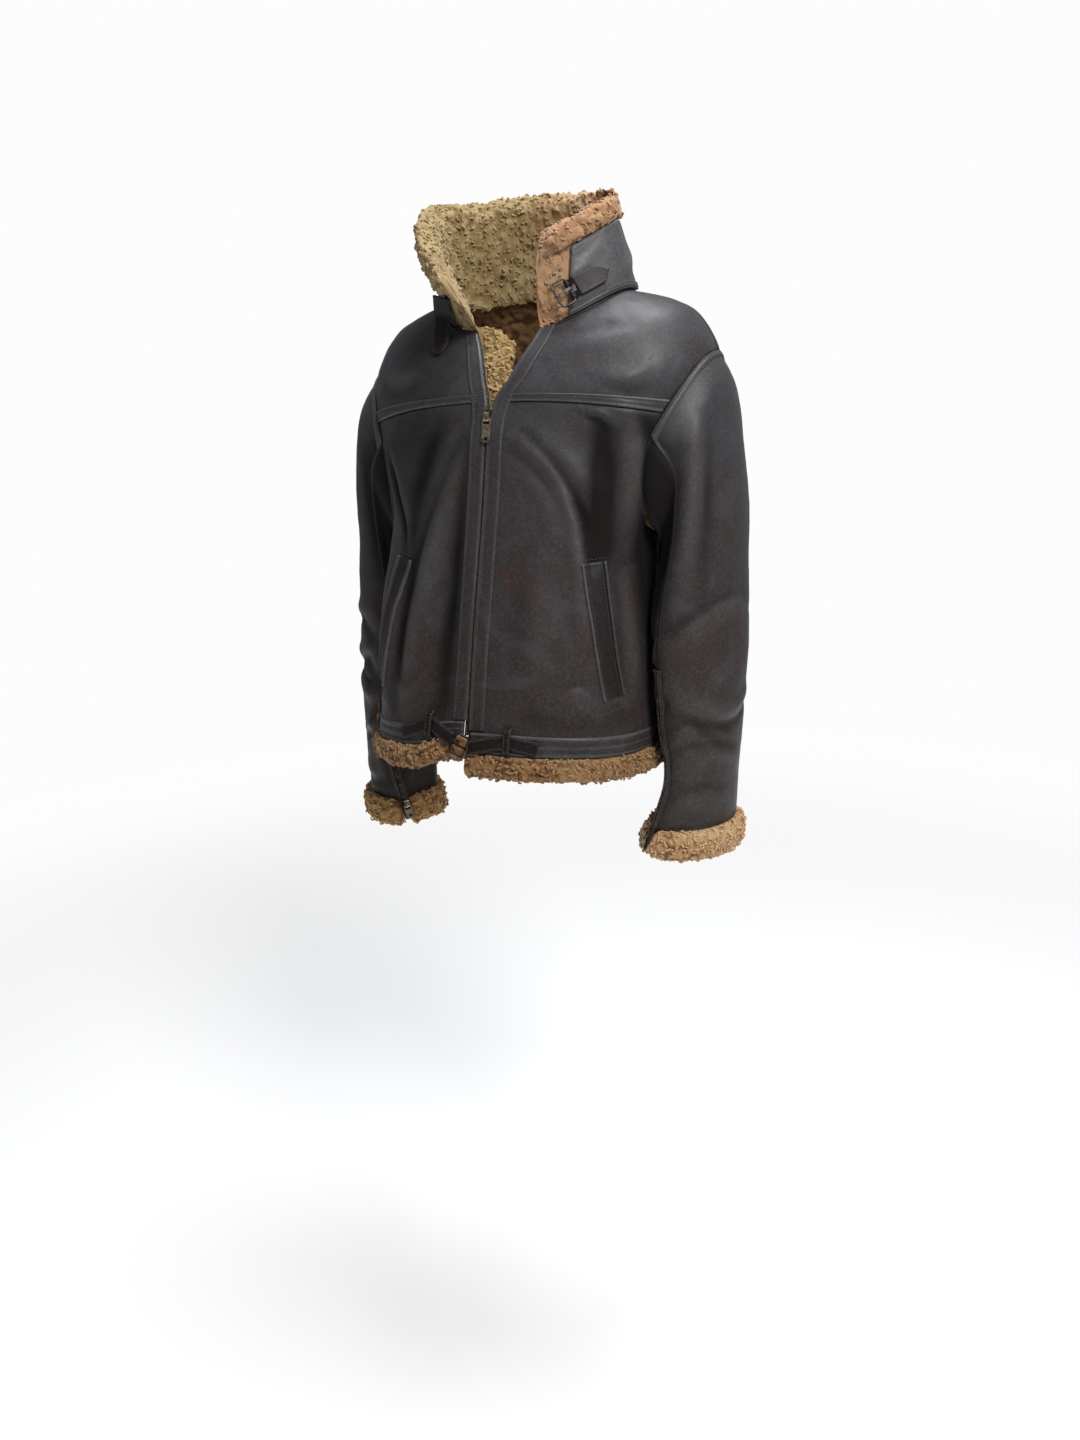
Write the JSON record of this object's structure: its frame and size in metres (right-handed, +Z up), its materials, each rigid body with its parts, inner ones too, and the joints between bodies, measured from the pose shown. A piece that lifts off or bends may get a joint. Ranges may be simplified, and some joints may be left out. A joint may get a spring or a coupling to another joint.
{
  "type": "sheepskin flying jacket",
  "caption": "Sheepskin flying jacket in its worn form, with a fleece-lined stand collar, zipped front, slanted pockets, a strapped hem and zipped cuffs; body and sleeves are hollow.",
  "frame": {"origin": "where the wearer's shoulders carry the jacket: on its middle plane, level with the neck seam at the shoulders", "axes": "+Z up the wearer, -Y the way the front faces, +X the wearer's left side"},
  "size_m": [0.6331, 0.3754, 0.903],
  "materials": {
    "leather": "satin",
    "binding_leather": "satin",
    "strap_leather": "satin",
    "fleece": "matt",
    "antique_metal": "antique"
  },
  "bodies": {
    "jacket": {"armhole_tape_left": "binding_leather", "armhole_tape_right": "binding_leather", "back": "leather", "collar": "leather", "collar_fleece": "fleece", "collar_keeper_lower": "strap_leather", "collar_keeper_upper": "strap_leather", "collar_patch": "strap_leather", "collar_strap": "strap_leather", "collar_tape": "binding_leather", "cuff_fleece_left": "fleece", "cuff_fleece_right": "fleece", "cuff_slider_left": "antique_metal", "cuff_slider_right": "antique_metal", "cuff_zip_left": "binding_leather", "cuff_zip_right": "binding_leather", "front_left": "leather", "front_right": "leather", "hem_band_back": "binding_leather", "hem_band_left": "binding_leather", "hem_band_right": "binding_leather", "hem_buckle_frame": "antique_metal", "hem_buckle_prong": "antique_metal", "hem_fleece_back": "fleece", "hem_fleece_left": "fleece", "hem_fleece_right": "fleece", "hem_strap_left": "strap_leather", "hem_strap_right": "strap_leather", "pocket_piping_front_left": "binding_leather", "pocket_piping_front_right": "binding_leather", "pocket_piping_rear_left": "binding_leather", "pocket_piping_rear_right": "binding_leather", "pocket_welt_left": "binding_leather", "pocket_welt_right": "binding_leather", "sleeve_under_left": "leather", "sleeve_under_right": "leather", "sleeve_upper_left": "leather", "sleeve_upper_right": "leather", "strap_loop_left": "strap_leather", "strap_loop_right": "strap_leather", "wind_flap": "fleece", "yoke_left": "leather", "yoke_right": "leather", "yoke_tape_left": "binding_leather", "yoke_tape_right": "binding_leather", "zip_slider": "antique_metal", "zip_strip_left": "binding_leather", "zip_strip_right": "binding_leather", "zip_teeth_left": "antique_metal", "zip_teeth_right": "antique_metal"},
    "zip_pull": {"zip_pull": "antique_metal"},
    "cuff_pull_left": {"cuff_pull_left": "antique_metal"},
    "cuff_pull_right": {"cuff_pull_right": "antique_metal"},
    "collar_buckle_frame": {"collar_buckle_frame": "antique_metal"},
    "collar_buckle_prong": {"collar_buckle_prong": "antique_metal"}
  },
  "joints": [
    {"name": "zip_pull_swing", "type": "hinge", "parent": "jacket", "child": "zip_pull", "pos_m": [0.01495, -0.12715, -0.14847], "axis": [-1, 0, 0], "range_deg": [0, 120]},
    {"name": "cuff_pull_left_swing", "type": "hinge", "parent": "jacket", "child": "cuff_pull_left", "pos_m": [0.19897, -0.07161, -0.70367], "axis": [-0.6496, 0.7378, 0.1837], "range_deg": [0, 120]},
    {"name": "cuff_pull_right_swing", "type": "hinge", "parent": "jacket", "child": "cuff_pull_right", "pos_m": [-0.20666, -0.03108, -0.72538], "axis": [-0.6554, -0.7396, -0.1529], "range_deg": [0, 120]},
    {"name": "collar_buckle_frame_swing", "type": "hinge", "parent": "jacket", "child": "collar_buckle_frame", "pos_m": [0.10201, -0.05441, 0.00168], "axis": [-0.5474, 0.0774, 0.8333], "range_deg": [0, 90]},
    {"name": "collar_buckle_prong_swing", "type": "hinge", "parent": "collar_buckle_frame", "child": "collar_buckle_prong", "pos_m": [0.10201, -0.05441, 0.00168], "axis": [-0.5474, 0.0774, 0.8333], "range_deg": [0, 70]}
  ]
}
